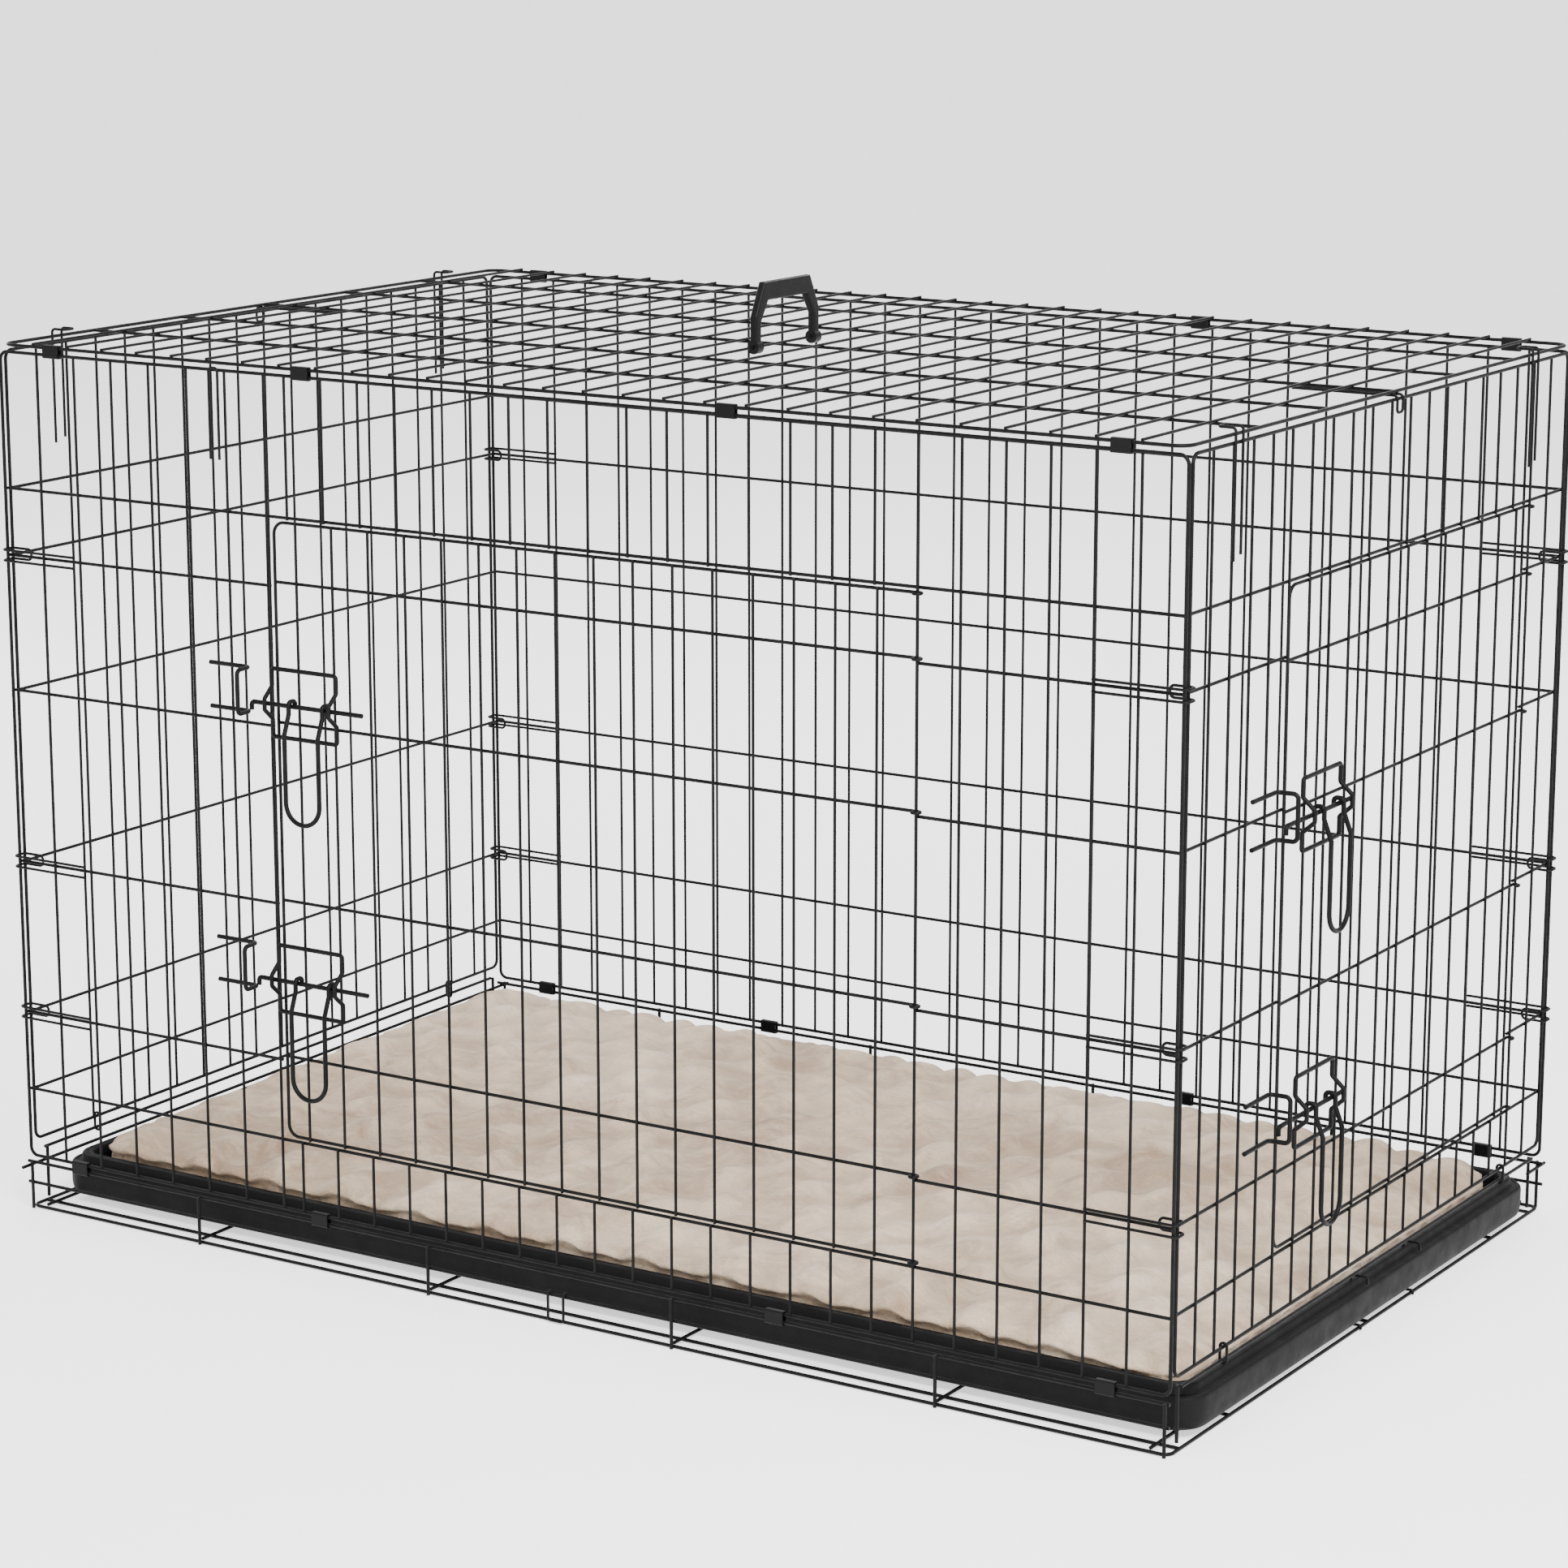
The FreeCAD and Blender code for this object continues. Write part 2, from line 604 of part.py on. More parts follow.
pan_hollow_block.setExpression("Placement.Base.y", f"{pan_wall} - sizes.pan_half_width")
pan_hollow_block.setExpression("Placement.Base.z", "sizes.pan_floor")
doc.recompute()
pan_hollow = fillet("pan_hollow", pan_hollow_block, 14.0, is_upright)
pan_shell = doc.addObject("Part::Cut", "pan_shell")
pan_shell.Base = pan_solid
pan_shell.Tool = pan_hollow
doc.recompute()
CATCH_PLACES = (-22.0, 88.0)
pan_slots = doc.addObject("Part::Compound", "pan_slots")
slots = []
for number, place in enumerate(CATCH_PLACES, start=1):
    slot = doc.addObject("Part::Box", f"pan_slot_{number}")
    slot.Length = 6
    slot.Width = 6
    slot.Height = 60
    slot.Placement.Base = Vector(HALF_X - 10.5, place - 3, 0)
    slots.append(slot)
pan_slots.Links = slots
pan = doc.addObject("Part::Cut", "pan")
pan.Base = pan_shell
pan.Tool = pan_slots
doc.recompute()
pan.Label = "tray"
nodes.append(pan)


def pan_catch(place):
    """Spring wire from the floor rod up through the pan's end wall and over its rim."""
    reach = RR + RH + 0.3
    stem = HALF_X - 7.5
    points = [Vector(x, place, z) for x, z in
              ((HALF_X + reach, RH + 0.1), (HALF_X + reach, FLOOR_Z + reach + 0.2),
               (stem, FLOOR_Z + reach + 0.2), (stem, 50.4), (HALF_X + 8.5, 50.4), (HALF_X + 8.5, 44))]
    return bent_wire(points, RH, 2.2)


shape_node("tray_catches", [pan_catch(place) for place in CATCH_PLACES])

# ---------------------------------------------------------------- pad
pad_block = doc.addObject("Part::Box", "pad_block")
pad_block.setExpression("Length", "sizes.pad_right - sizes.pad_left")
pad_block.setExpression("Width", "2 * sizes.pad_half_width")
pad_block.setExpression("Height", "sizes.pad_top - sizes.pad_low")
pad_block.setExpression("Placement.Base.x", "sizes.pad_left")
pad_block.setExpression("Placement.Base.y", "-sizes.pad_half_width")
pad_block.setExpression("Placement.Base.z", "sizes.pad_low")
doc.recompute()
pad = fillet("pad", pad_block, 24.0, is_upright)
pad.Label = "pad"
nodes.append(pad)

# ---------------------------------------------------------------- carry handle
HANDLE_HALF = size("handle_half")
HANDLE_TOP = size("handle_height")
HANDLE_DEPTH = size("handle_depth")


def handle_arch():
    """Moulded arch: two bulb feet bored for the wire, legs, and a grip with sloping ends."""
    outline = [(-58, -3), (-58, 28), (-42, 58), (42, 58), (58, 28), (58, -3), (48, -3), (48, 22),
               (35, 41), (-35, 41), (-48, 22), (-48, -3)]
    scale_y = HANDLE_HALF / 58
    scale_z = HANDLE_TOP / 58
    points = [Vector(-HANDLE_DEPTH / 2, y * scale_y, cross_height + z * scale_z) for y, z in outline]
    face = Part.Face(Part.makePolygon(points + points[:1]))
    body = face.extrude(Vector(HANDLE_DEPTH, 0, 0))
    body = body.makeFillet(2.2, [edge for edge in body.Edges
                                 if abs(edge.tangentAt(edge.FirstParameter).x) < 0.1
                                 and edge.BoundBox.ZMin > cross_height - 5])
    leg = 10 * scale_y
    for start in (-HANDLE_HALF, HANDLE_HALF - leg):
        foot = Part.makeCylinder(6.2, leg, Vector(0, start, cross_height), Vector(0, 1, 0))
        body = body.fuse(foot)
    bore = Part.makeCylinder(size("handle_pin"), 140, Vector(0, -70, cross_height), Vector(0, 1, 0))
    return body.removeSplitter().cut(bore)


shape_node("carry_handle", [handle_arch()])

# ---------------------------------------------------------------- fold lock hook
lock_level = size("base_low_rail")
lock_reach = RR + RH + 0.3
lock_points = []
for along, order in ((-5.0, 1), (11.5, -1)):
    leg = [(-lock_reach, lock_level - 2), (-lock_reach, lock_level + lock_reach),
           (lock_reach, lock_level + lock_reach), (lock_reach, 2.2)]
    lock_points += [on_side("front", along, out, height) for out, height in leg[::order]]
shape_node("fold_lock_hook", [bent_wire(lock_points, RH, 2.6)])

# ---------------------------------------------------------------- checks and files
middle = Vector(-size("origin_x"), -size("origin_y"), 0)
for node in nodes:
    node.Placement = FreeCAD.Placement(middle, FreeCAD.Rotation())
doc.recompute()
for item in doc.Objects:
    if "Invalid" in item.State or "Error" in item.State:
        raise RuntimeError(f"{item.Label} did not compute: {item.State}")
labels = [node.Label for node in nodes]
if len(set(labels)) != len(labels):
    raise RuntimeError("two pieces share a name")
os.makedirs("parts", exist_ok=True)
for node in nodes:
    if node.Shape.isNull() or not node.Shape.isValid() or not node.Shape.Solids:
        raise RuntimeError(f"{node.Label} has no valid solid")
    if min(solid.Volume for solid in node.Shape.Solids) <= 0:
        raise RuntimeError(f"{node.Label} has an inside-out solid")
    node.Shape.exportStep(f"parts/{node.Label}.step")
print(len(nodes), "nodes,", sum(len(node.Shape.Solids) for node in nodes), "solids")
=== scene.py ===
import json
import math

import bpy
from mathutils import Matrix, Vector


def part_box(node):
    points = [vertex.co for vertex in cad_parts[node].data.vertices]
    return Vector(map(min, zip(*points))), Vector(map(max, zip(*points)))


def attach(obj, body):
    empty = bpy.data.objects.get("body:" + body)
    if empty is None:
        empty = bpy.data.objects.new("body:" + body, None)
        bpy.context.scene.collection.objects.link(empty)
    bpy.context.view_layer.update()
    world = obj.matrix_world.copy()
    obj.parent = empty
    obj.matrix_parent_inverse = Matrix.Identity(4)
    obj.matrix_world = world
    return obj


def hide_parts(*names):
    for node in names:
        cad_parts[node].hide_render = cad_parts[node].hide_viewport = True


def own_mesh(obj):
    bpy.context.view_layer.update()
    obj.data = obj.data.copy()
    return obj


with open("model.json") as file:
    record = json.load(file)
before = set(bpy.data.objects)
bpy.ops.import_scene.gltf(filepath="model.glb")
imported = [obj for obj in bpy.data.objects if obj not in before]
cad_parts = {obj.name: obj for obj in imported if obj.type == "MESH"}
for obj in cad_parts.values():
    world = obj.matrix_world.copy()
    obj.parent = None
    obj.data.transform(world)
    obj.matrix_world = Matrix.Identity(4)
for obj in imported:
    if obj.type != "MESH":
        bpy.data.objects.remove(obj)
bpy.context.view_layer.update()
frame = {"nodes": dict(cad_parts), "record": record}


# ---------- materials ----------

class Shader:
    """One procedural material, with short ways to add and join its nodes."""

    def __init__(self, name, colour):
        self.material = bpy.data.materials.new(name)
        self.material.use_nodes = True
        self.material.diffuse_color = (*colour, 1)
        self.nodes = self.material.node_tree.nodes
        self.links = self.material.node_tree.links
        self.surface = self.nodes["Principled BSDF"]
        self.surface.inputs["Base Color"].default_value = (*colour, 1)
        self.place = self.nodes.new("ShaderNodeTexCoord").outputs["Object"]

    def set(self, **values):
        for name, value in values.items():
            self.surface.inputs[name.replace("_", " ")].default_value = value

    def join(self, source, target):
        self.links.new(source, target)

    def stretched(self, scale):
        mapping = self.nodes.new("ShaderNodeMapping")
        mapping.inputs["Scale"].default_value = scale
        self.join(self.place, mapping.inputs["Vector"])
        return mapping.outputs["Vector"]

    def noise(self, scale, detail=4.0, rough=0.55, twist=0.0, vector=None):
        node = self.nodes.new("ShaderNodeTexNoise")
        node.inputs["Scale"].default_value = scale
        node.inputs["Detail"].default_value = detail
        node.inputs["Roughness"].default_value = rough
        node.inputs["Distortion"].default_value = twist
        self.join(vector or self.place, node.inputs["Vector"])
        return node.outputs["Fac"]

    def ramp(self, source, *stops):
        node = self.nodes.new("ShaderNodeValToRGB")
        marks = node.color_ramp.elements
        while len(marks) < len(stops):
            marks.new(0.5)
        for mark, (position, colour) in zip(marks, stops):
            mark.position = position
            mark.color = (*colour, 1) if isinstance(colour, tuple) else (colour, colour, colour, 1)
        self.join(source, node.inputs["Fac"])
        return node.outputs["Color"]

    def span(self, source, low, high, out_low, out_high):
        node = self.nodes.new("ShaderNodeMapRange")
        sockets = ("From Min", "From Max", "To Min", "To Max")
        for socket, value in zip(sockets, (low, high, out_low, out_high)):
            node.inputs[socket].default_value = value
        self.join(source, node.inputs["Value"])
        return node.outputs["Result"]

    def mix(self, share, first, second, mode="MIX"):
        node = self.nodes.new("ShaderNodeMix")
        node.data_type = "RGBA"
        node.blend_type = mode
        if isinstance(share, float):
            node.inputs[0].default_value = share
        else:
            self.join(share, node.inputs[0])
        for socket, value in ((6, first), (7, second)):
            if isinstance(value, tuple):
                node.inputs[socket].default_value = (*value, 1)
            else:
                self.join(value, node.inputs[socket])
        return node.outputs[2]

    def bump(self, *layers):
        previous = None
        for source, strength, depth in layers:
            node = self.nodes.new("ShaderNodeBump")
            node.inputs["Strength"].default_value = strength
            node.inputs["Distance"].default_value = depth
            self.join(source, node.inputs["Height"])
            if previous:
                self.join(previous, node.inputs["Normal"])
            previous = node.outputs["Normal"]
        self.join(previous, self.surface.inputs["Normal"])


SOFT_GLOSS = 0.09  # specular level of the black coat and the dark plastics


def coated_wire(name, colour, rough):
    """Black electro-coat on drawn wire: slightly uneven sheen and faint orange peel."""
    shader = Shader(name, colour)
    tone = shader.noise(38, 3)
    lighter = tuple(channel * 1.6 + 0.002 for channel in colour)
    shader.join(shader.ramp(tone, (0.35, colour), (0.72, lighter)), shader.surface.inputs["Base Color"])
    shader.join(shader.span(shader.noise(120, 4), 0.3, 0.7, rough - 0.06, rough + 0.09),
                shader.surface.inputs["Roughness"])
    shader.set(IOR=1.5, Specular_IOR_Level=SOFT_GLOSS)
    shader.bump((shader.noise(900, 3), 0.12, 0.0002))
    return shader.material


def moulded(name, colour, rough, grain, depth):
    """Dark moulded plastic with a fine leather-like grain, scuffed a little paler in places."""
    shader = Shader(name, colour)
    cloud = shader.noise(9, 5, 0.6, 0.4)
    scuff = shader.noise(1.0, 6, 0.65, 0.2, shader.stretched((26, 120, 120)))
    lighter = tuple(channel * 1.35 + 0.0015 for channel in colour)
    base = shader.ramp(cloud, (0.3, colour), (0.75, lighter))
    marks = shader.ramp(scuff, (0.6, 0.0), (0.8, 0.2))
    pale = tuple(channel * 1.8 + 0.003 for channel in colour)
    shader.join(shader.mix(marks, base, pale), shader.surface.inputs["Base Color"])
    shader.join(shader.span(shader.noise(60, 4), 0.3, 0.7, rough - 0.06, rough + 0.08),
                shader.surface.inputs["Roughness"])
    shader.set(Specular_IOR_Level=SOFT_GLOSS)
    shader.bump((cloud, 0.06, 0.001), (shader.noise(grain, 3, 0.6), 0.3, depth))
    return shader.material


def plush(name):
    """Short beige plush: mottled warm tones, painted shade that darkens the hollows, with curly matted pile.
    """
    shader = Shader(name, (0.60, 0.50, 0.41))
    cloud = shader.noise(3.2, 5, 0.6, 0.6)
    blotch = shader.noise(13, 5, 0.65, 1.2)
    base = shader.ramp(cloud, (0.34, (0.32, 0.215, 0.135)), (0.5, (0.53, 0.39, 0.272)),
                       (0.64, (0.74, 0.595, 0.448)))
    warm = shader.ramp(blotch, (0.38, (0.26, 0.165, 0.10)), (0.58, (0.72, 0.57, 0.42)))
    mottled = shader.mix(0.45, base, warm)
    hair = shader.noise(1.0, 6, 0.7, 2.5, shader.stretched((90, 210, 120)))
    strands = shader.ramp(hair, (0.36, 0.66), (0.60, 1.0))
    piled = shader.mix(0.6, mottled, strands, "MULTIPLY")
    # painted shade: the pile colour is mixed towards a dark brown where the tufts and pleats dip into
    # hollows
    painted_hollow_shade = shader.nodes.new("ShaderNodeAttribute")
    painted_hollow_shade.attribute_name = "painted_hollow_shade"
    depth = shader.span(painted_hollow_shade.outputs["Fac"], 0.30, 0.85, 0, 0.55)
    shader.join(shader.mix(depth, piled, (0.29, 0.195, 0.122)), shader.surface.inputs["Base Color"])
    shader.set(Roughness=0.95, Sheen_Weight=0.15, Sheen_Roughness=0.5, Specular_IOR_Level=0.15)
    tuft = shader.noise(46, 5, 0.6, 1.4)
    shader.bump((tuft, 0.55, 0.006), (hair, 0.6, 0.003), (shader.noise(620, 3, 0.7), 0.4, 0.0012))
    return shader.material


FINISH = {
    "black_wire": coated_wire("black electro-coat", (0.0022, 0.0022, 0.0025), 0.5),
    "handle_plastic": moulded("handle plastic", (0.0035, 0.0035, 0.0038), 0.45, 900, 0.0004),
    "clip_plastic": moulded("clip plastic", (0.0025, 0.0025, 0.0028), 0.45, 1100, 0.0003),
    "pan_plastic": moulded("pan plastic", (0.0028, 0.0028, 0.0030), 0.6, 700, 0.0005),
    "plush": plush("curly plush"),
}
for part in frame["record"]["subparts"]:
    for holder in frame["nodes"][part["node"]].material_slots:
        holder.material = FINISH[part["material_slot"]]


# ---------- shapes ----------

def piece(name, verts, faces, slot):
    """A smooth-shaded mesh object that takes its finish from one of the record's material slots."""
    mesh = bpy.data.meshes.new(name)
    mesh.from_pydata(verts, [], faces)
    mesh.validate()
    made = bpy.data.objects.new(name, mesh)
    bpy.context.scene.collection.objects.link(made)
    mesh.materials.append(FINISH[slot])
    mesh.polygons.foreach_set("use_smooth", [True] * len(mesh.polygons))
    return made


def rounded_outline(x0, x1, y0, y1, radius, steps):
    """Closed ring of points round a rectangle with round corners, evenly matched between rings."""
    ring = []
    for cx, cy, start in ((x1 - radius, y1 - radius, 0), (x0 + radius, y1 - radius, 90),
                          (x0 + radius, y0 + radius, 180), (x1 - radius, y0 + radius, 270)):
        for i in range(steps + 1):
            angle = math.radians(start + 90 * i / steps)
            ring.append((cx + radius * math.cos(angle), cy + radius * math.sin(angle)))
    return ring


def loft(rings):
    """Faces that join closed rings of the same length, with flat caps at both ends."""
    count = len(rings[0])
    verts = [point for ring in rings for point in ring]
    faces = []
    for level in range(len(rings) - 1):
        low = level * count
        for i in range(count):
            j = (i + 1) % count
            faces.append((low + i, low + j, low + count + j, low + count + i))
    faces.append(tuple(reversed(range(count))))
    last = (len(rings) - 1) * count
    faces.append(tuple(last + i for i in range(count)))
    return verts, faces


# ---------- pan ----------

low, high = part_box("tray")
TRAY = dict(x0=low.x, x1=high.x, y0=low.y, y1=high.y, z0=low.z, z1=high.z)


LEDGE_DROP = 0.008   # from the ridge down to the ledge outside it
PAN_CORNER = 0.030   # radius of the pan's outer corners
INNER_CORNER = 0.004  # the least that its inner corners come down to
CORNER_STEPS = 12


def pan_profile():
    """Inset from the pan's outer wall and height above its underside: out from under the floor, up the
    outside, over the ledge and the ridge inside it, and down to the floor."""
    ridge = TRAY["z1"] - TRAY["z0"]
    ledge = ridge - LEDGE_DROP
    return [(0.0300, 0.0), (0.0090, 0.0), (0.0050, 0.0010), (0.0022, 0.0032), (0.0008, 0.0064),
            (0.0002, 0.0110), (0.0, ledge - 0.0040), (0.0006, ledge - 0.0016), (0.0020, ledge - 0.0003),
            (0.0036, ledge), (0.0048, ledge - 0.0009), (0.0058, ledge - 0.0009), (0.0070, ledge - 0.0002),
            (0.0084, ledge), (0.0090, ledge + 0.0012), (0.0093, ridge - 0.0022), (0.0102, ridge - 0.0006),
            (0.0120, ridge), (0.0140, ridge), (0.0148, ridge - 0.0008), (0.0158, ridge - 0.0008),
            (0.0166, ridge), (0.0184, ridge - 0.0004), (0.0194, ridge - 0.0020), (0.0198, ridge - 0.0080),
            (0.0206, 0.0100), (0.0220, 0.0055), (0.0250, 0.0036), (0.0300, 0.0030)]


rings = []
for inset, height in pan_profile():
    outline = rounded_outline(TRAY["x0"] + inset, TRAY["x1"] - inset, TRAY["y0"] + inset,
                              TRAY["y1"] - inset, max(PAN_CORNER - inset * 0.7, INNER_CORNER),
                              CORNER_STEPS)
    rings.append([(x, y, TRAY["z0"] + height) for x, y in outline])
pan = piece("pan_shell", *loft(rings), "pan_plastic")
pan_bevel = pan.modifiers.new("soft", "BEVEL")
pan_bevel.width = 0.0006
pan_bevel.segments = 2
pan_bevel.limit_method = "ANGLE"
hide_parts("tray")
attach(pan, "pan")


# ---------- pad ----------

low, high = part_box("pad")
PAD = dict(x0=low.x, x1=high.x, y0=low.y, y1=high.y, z0=low.z, z1=high.z)
ROW_X = 0.0840       # pitch of the tufts along the pad
ROW_Y = 0.1150       # and across it
PLEAT_X = 0.0380     # pitch of the pleats in its long edges
PLEAT_Y = 0.0280     # and in its short ones
SHRINK = 0.006       # how much smaller each side starts, before the pad swells
PAD_CORNER = 0.026
VOXEL = 0.009
SWELL_STEPS = 20
SWELL_CAP = 0.006    # the furthest that a point may move as the pad swells


def pad_form():
    """The plain stuffed slab that the pad is before its top is tufted."""
    outline = rounded_outline(PAD["x0"] + SHRINK, PAD["x1"] - SHRINK, PAD["y0"] + SHRINK,
                              PAD["y1"] - SHRINK, PAD_CORNER, 10)
    base = PAD["z0"] + 0.001
    top = PAD["z1"] - 0.014
    middle_x = (PAD["x0"] + PAD["x1"]) / 2
    middle_y = (PAD["y0"] + PAD["y1"]) / 2
    levels = [(0.016, base), (0.004, base + 0.004), (0.0, base + 0.012), (0.0, top - 0.014),
              (0.005, top - 0.004), (0.018, top)]
    made = []
    for inward, height in levels:
        ring = []
        for x, y in outline:
            away = Vector((x - middle_x, y - middle_y)).normalized()
            ring.append((x - away.x * inward, y - away.y * inward, height))
        made.append(ring)
    return piece("pad_plush", *loft(made), "plush")


def settle(pad):
    """Swell the pad as stuffed cloth, with how far a point may move capped."""
    remesh = pad.modifiers.new("even", "REMESH")
    remesh.mode = "VOXEL"
    remesh.voxel_size = VOXEL
    graph = bpy.context.evaluated_depsgraph_get()
    even = bpy.data.meshes.new_from_object(pad.evaluated_get(graph))
    pad.modifiers.clear()
    pad.data = even
    rest = [v.co.copy() for v in even.vertices]
    cloth = pad.modifiers.new("swell", "CLOTH")
    cloth.settings.quality = 4
    cloth.settings.mass = 0.3
    cloth.settings.use_pressure = True
    cloth.settings.uniform_pressure_force = 4
    cloth.settings.effector_weights.gravity = 0
    cloth.collision_settings.use_collision = False
    cloth.collision_settings.use_self_collision = False
    cloth.point_cache.frame_start = 1
    cloth.point_cache.frame_end = SWELL_STEPS
    for step in range(1, SWELL_STEPS + 1):
        bpy.context.scene.frame_set(step)
    swollen = bpy.data.meshes.new_from_object(pad.evaluated_get(bpy.context.evaluated_depsgraph_get()))
    pad.modifiers.clear()
    bpy.context.scene.frame_set(1)
    for vertex, start in zip(swollen.vertices, rest):
        move = vertex.co - start
        if move.length > SWELL_CAP:
            move *= SWELL_CAP / move.length
        vertex.co = start + move
        vertex.co.z = max(vertex.co.z, PAD["z0"] + 0.0002)
    pad.data = swollen


def finer(pad):
    """Divide the swollen mesh once, so that the tufts have points to shape."""
    smooth = pad.modifiers.new("fine", "SUBSURF")
    smooth.levels = 1
    smooth.render_levels = 1
    graph = bpy.context.evaluated_depsgraph_get()
    fine = bpy.data.meshes.new_from_object(pad.evaluated_get(graph))
    pad.modifiers.clear()
    pad.data = fine


def wander(value, seed):
    """Slow irregular sway between about -1 and 1."""
    return (math.sin(value * 5.1 + seed) + math.sin(value * 11.7 + seed * 2.3) * 0.6
            + math.sin(value * 23.9 + seed * 0.7) * 0.3) / 1.9


def tuft_height(x, y):
    """Staggered soft cushions: 1 on a crown, 0 in the hollows between them, slightly irregular."""
    across = x / ROW_X + 0.07 * wander(y, 1.0) + 0.04 * wander(x, 4.0)
    along = y / ROW_Y + 0.07 * wander(x, 2.0) + 0.04 * wander(y, 5.0)
    lattice = 0.5 + 0.5 * math.cos(2 * math.pi * across) * math.cos(2 * math.pi * along)
    ribs = abs(math.cos(2 * math.pi * across))
    return 0.75 * lattice ** 0.8 + 0.25 * ribs


def smooth_step(value, low, high):
    """0 up to low, 1 from high on, with a smooth rise between them."""
    share = max(0.0, min(1.0, (value - low) / (high - low)))
    return share * share * (3 - 2 * share)


RIM = TRAY["z1"]
EDGE = 0.05                                              # width of the pleated band round the pad
TUFT_RISE = 0.014                                        # from a hollow to a crown
PLEAT_RISE = 0.006                                       # how far a pleat stands out of the edge
PLEAT_LIFT = 0.005                                       # and how far it stands up
PLEAT_MIDDLE = 0.7
FOLD_GAP = 0.0015                                        # between the pad and the folded end above it
SPILL = {"left": 0.008, "right": 0.004, "side": 0.010}   # how far the pad bulges out over the pan's rim
WALL = 0.0200                                            # the pan's inner wall, inside its outer one
CLEAR = 0.0012                                           # between the pad's side and that wall
SWELL = 0.008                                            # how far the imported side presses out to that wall


def fold_room():
    """Where the right end's door wires lie once that end is folded down: a height, and its rise with
    distance from the hinge."""
    joints = frame["record"]["behaviour"]["joints"]
    fold = next(joint for joint in joints if joint["name"] == "right_end_fold")
    hinge_x, _, hinge_z = fold["pos_m"]
    slope = math.tan(math.radians(90 + min(fold["range_deg"])))
    inside = hinge_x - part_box("end_door_cross_wires")[0].x
    return hinge_x, hinge_z - inside, slope


def tuft(pad):
    """Shape the tufts, the pleated edge and the bulge over the pan's rim, and mark the hollows' shade."""
    painted_hollow_shade = pad.data.attributes.new("painted_hollow_shade", "FLOAT", "POINT")
    shade = []
    top = PAD["z1"] - 0.016
    hinge_x, folded_z, slope = fold_room()
    wall = WALL + CLEAR
    for vertex in pad.data.vertices:
        x, y, z = vertex.co
        share = smooth_step(z, PAD["z0"] + 0.012, top)
        lift = tuft_height(x, y)
        gaps = {"left": x - PAD["x0"], "right": PAD["x1"] - x, "side": min(y - PAD["y0"], PAD["y1"] - y)}
        nearest = min(gaps, key=gaps.get)
        edge = gaps[nearest]
        vertex.co.z += share * (TUFT_RISE * (lift - 0.5) + 0.0012 * wander(x * 3 + y, 3.0))
        if edge < EDGE:
            outward = Vector((x - max(PAD["x0"] + EDGE, min(PAD["x1"] - EDGE, x)),
                              y - max(PAD["y0"] + EDGE, min(PAD["y1"] - EDGE, y)), 0)).normalized()
            near = smooth_step(EDGE - edge, 0.0, EDGE)
            over = smooth_step(z, RIM - 0.0005, RIM + 0.005)
            packed = smooth_step(z, PAD["z0"] + 0.002, PAD["z0"] + 0.014)
            pitch = PLEAT_X if nearest == "side" else PLEAT_Y
            place = x if nearest == "side" else y
            pleat = abs(math.cos(math.pi * place / pitch + 0.3 * wander(x + y, 6.0))) ** 0.6
            spread = near ** 0.5
            vertex.co += outward * spread * packed * SWELL
            vertex.co += outward * near * over * (SPILL[nearest] + PLEAT_RISE * (pleat - PLEAT_MIDDLE))
            vertex.co.z += share * near * PLEAT_LIFT * (pleat - PLEAT_MIDDLE)
            lift = lift * (1 - 0.5 * near) + pleat * 0.5 * near
            if z < RIM:
                vertex.co.x = max(TRAY["x0"] + wall, min(TRAY["x1"] - wall, vertex.co.x))
                vertex.co.y = max(TRAY["y0"] + wall, min(TRAY["y1"] - wall, vertex.co.y))
        room = folded_z - FOLD_GAP + slope * (hinge_x - vertex.co.x) - PAD["z0"]
        vertex.co.z = PAD["z0"] + (vertex.co.z - PAD["z0"]) * min(1.0, room / (PAD["z1"] - PAD["z0"]))
        # painted shade: 1 - lift is largest in the hollows between tufts and between the edge pleats
        shade.append(1 - lift)
    painted_hollow_shade.data.foreach_set("value", shade)
    pad.data.polygons.foreach_set("use_smooth", [True] * len(pad.data.polygons))


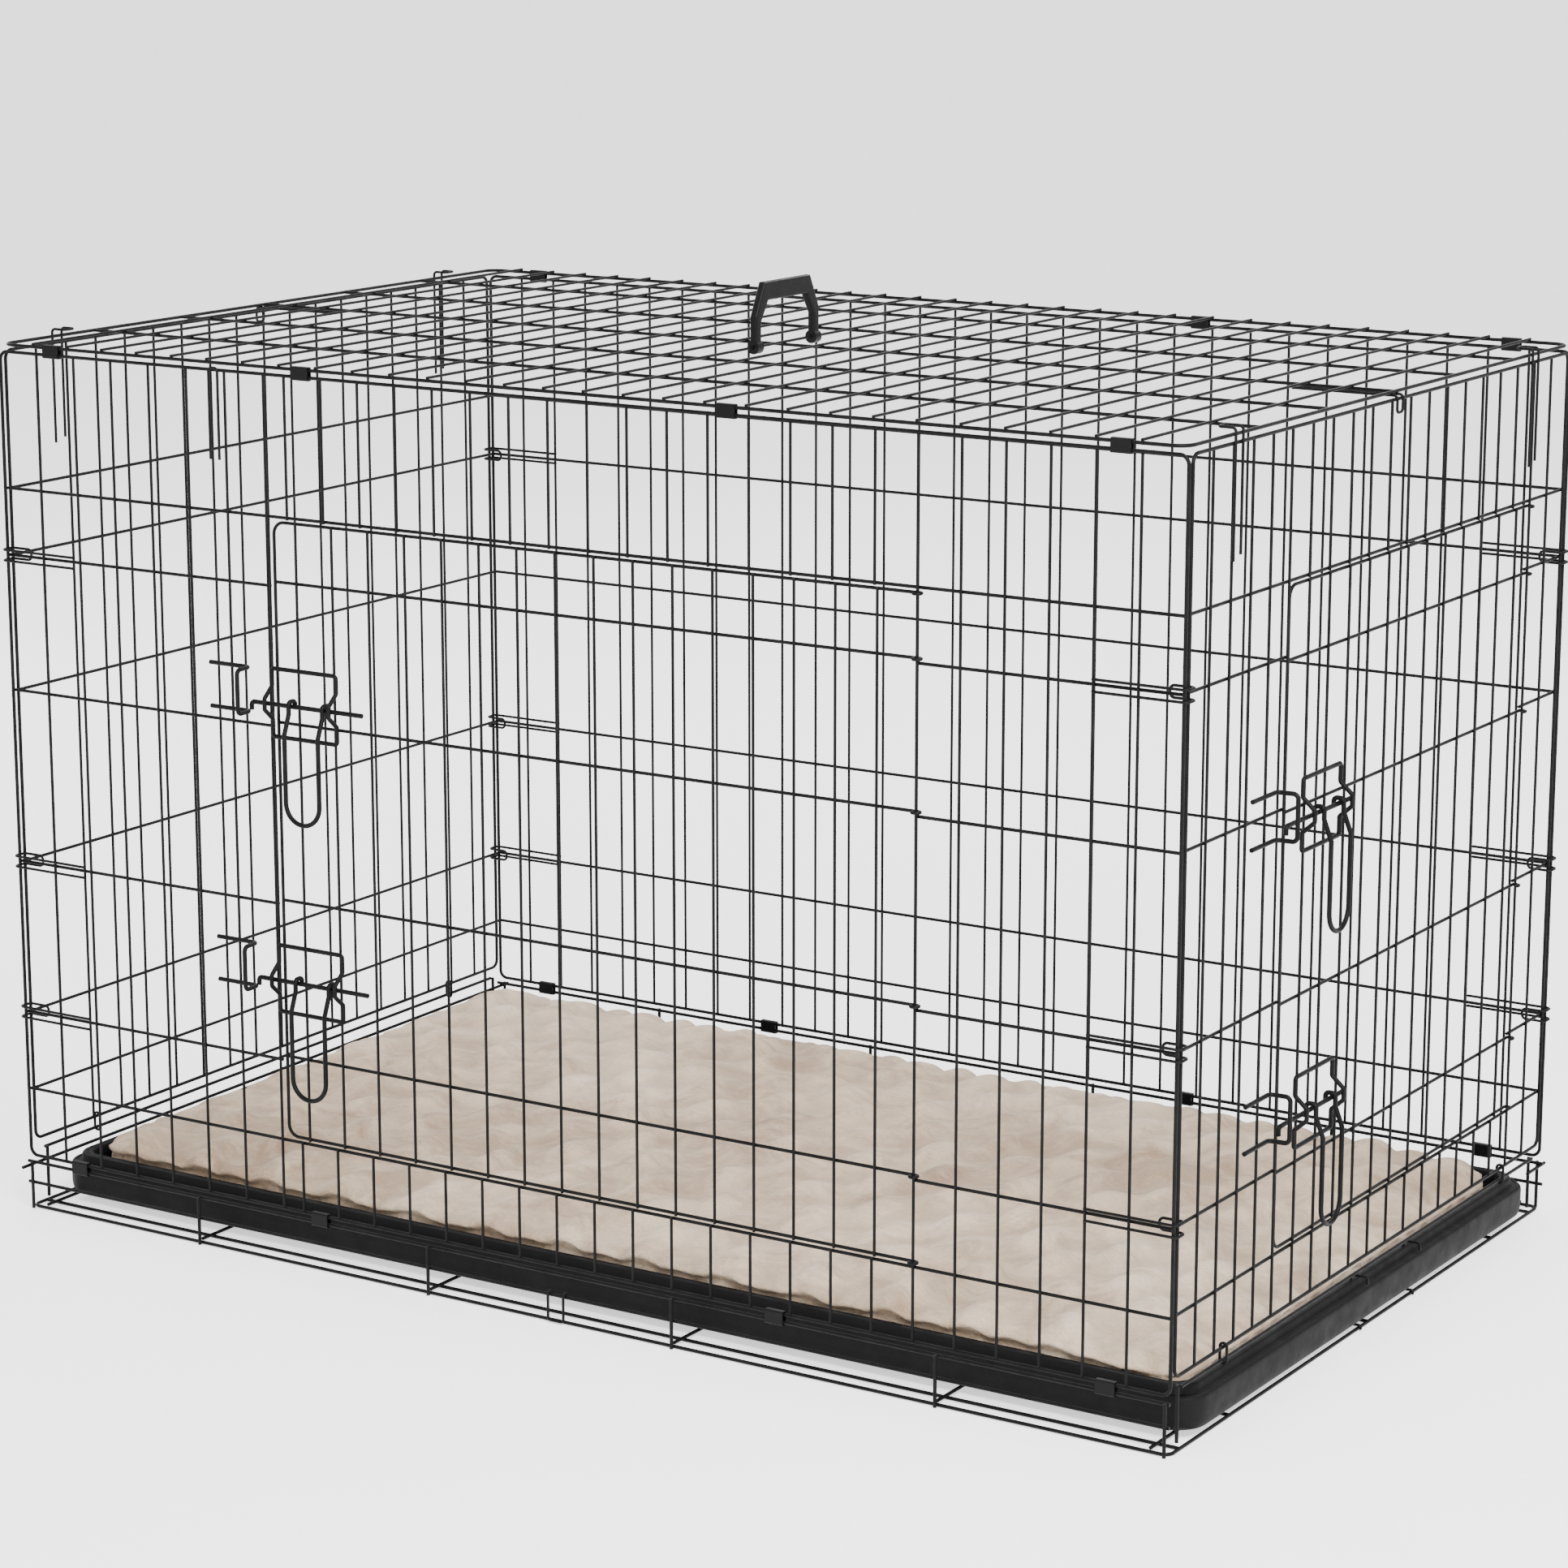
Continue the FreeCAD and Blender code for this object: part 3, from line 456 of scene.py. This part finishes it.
pad = pad_form()
settle(pad)
finer(pad)
tuft(pad)
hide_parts("pad")
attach(pad, "pan")
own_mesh(pad)


# ---------- stage ----------

FLOOR_REACH = 30
FLOOR_DROP = 0.0005  # below the object, so that the two never share a plane
FLOOR_GLOW = 1.0
SKY = 1.2

floor_mesh = bpy.data.meshes.new("floor")
floor_mesh.from_pydata([(x * FLOOR_REACH, y * FLOOR_REACH, -FLOOR_DROP)
                        for x, y in ((-1, -1), (1, -1), (1, 1), (-1, 1))], [], [(0, 1, 2, 3)])
floor = bpy.data.objects.new("floor", floor_mesh)
bpy.context.scene.collection.objects.link(floor)
floor_shader = Shader("pale floor", (0.94, 0.94, 0.94))
floor_shader.set(Roughness=0.9, Emission_Color=(1, 1, 1, 1), Emission_Strength=FLOOR_GLOW)
floor_mesh.materials.append(floor_shader.material)

world = bpy.data.worlds.new("studio")
bpy.context.scene.world = world
world.use_nodes = True
world.node_tree.nodes["Background"].inputs["Color"].default_value = (1, 1, 1, 1)
world.node_tree.nodes["Background"].inputs["Strength"].default_value = SKY


def area_light(name, place, target, side, power):
    """A square soft light that points at target."""
    light = bpy.data.lights.new(name, "AREA")
    light.shape = "SQUARE"
    light.size = side
    light.energy = power
    made = bpy.data.objects.new(name, light)
    bpy.context.scene.collection.objects.link(made)
    made.location = place
    made.rotation_euler = (Vector(target) - Vector(place)).to_track_quat("-Z", "Y").to_euler()


area_light("key", (2.2, -1.9, 2.6), (0.3, 0, 0.1), 1.2, 260)
area_light("fill", (-3.4, 0.6, 1.9), (0, 0, 0.1), 1.6, 70)
area_light("back", (-0.6, 3.2, 2.8), (0, 0, 0.4), 2.0, 70)

TILT_DOWN = 12.698
TURN = 32.289

camera = bpy.data.cameras.new("camera")
viewer = bpy.data.objects.new("camera", camera)
bpy.context.scene.collection.objects.link(viewer)
bpy.context.scene.camera = viewer
viewer.location = (2.12786, -3.37771, 1.3167)
viewer.rotation_euler = (math.radians(90 - TILT_DOWN), 0, math.radians(TURN))
camera.sensor_width = 36
camera.lens = 100.685
camera.dof.use_dof = False
